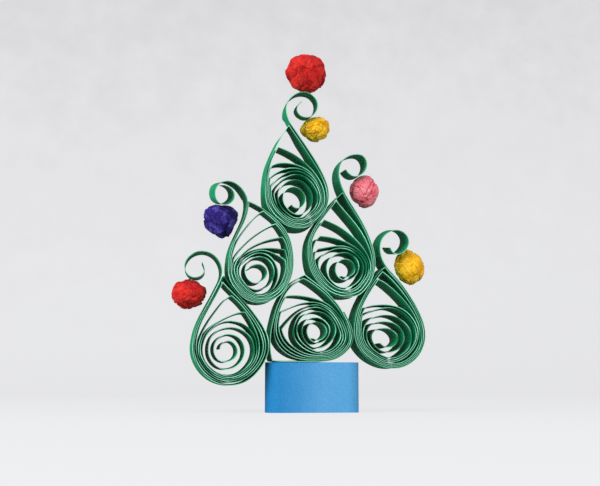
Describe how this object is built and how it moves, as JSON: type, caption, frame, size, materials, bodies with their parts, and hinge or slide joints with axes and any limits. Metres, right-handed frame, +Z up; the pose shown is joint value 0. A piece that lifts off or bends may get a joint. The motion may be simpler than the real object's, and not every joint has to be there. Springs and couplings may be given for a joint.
{
  "type": "quilled paper tree",
  "caption": "Standing tree of rolled and pinched paper strips with curled ends, crumpled paper balls and a flat looped band as its pot.",
  "frame": {"origin": "centre of the object's footprint box, on the surface the pot's rim stands on", "axes": "+Z up along the tree, +X to the right of the front view, +Y to the back along the depth of the paper strips"},
  "size_m": [0.0752, 0.0104, 0.107],
  "materials": {
    "green_paper": "matte",
    "blue_paper": "matte",
    "red_paper": "matte",
    "yellow_paper": "matte",
    "pink_paper": "matte",
    "purple_paper": "matte"
  },
  "bodies": {
    "root": {"top_coil": "green_paper", "upper_left_coil": "green_paper", "upper_right_coil": "green_paper", "lower_left_coil": "green_paper", "lower_middle_coil": "green_paper", "lower_right_coil": "green_paper", "pot": "blue_paper", "red_top_ball": "red_paper", "yellow_upper_ball": "yellow_paper", "pink_ball": "pink_paper", "purple_ball": "purple_paper", "red_lower_ball": "red_paper", "yellow_lower_ball": "yellow_paper"}
  },
  "joints": []
}
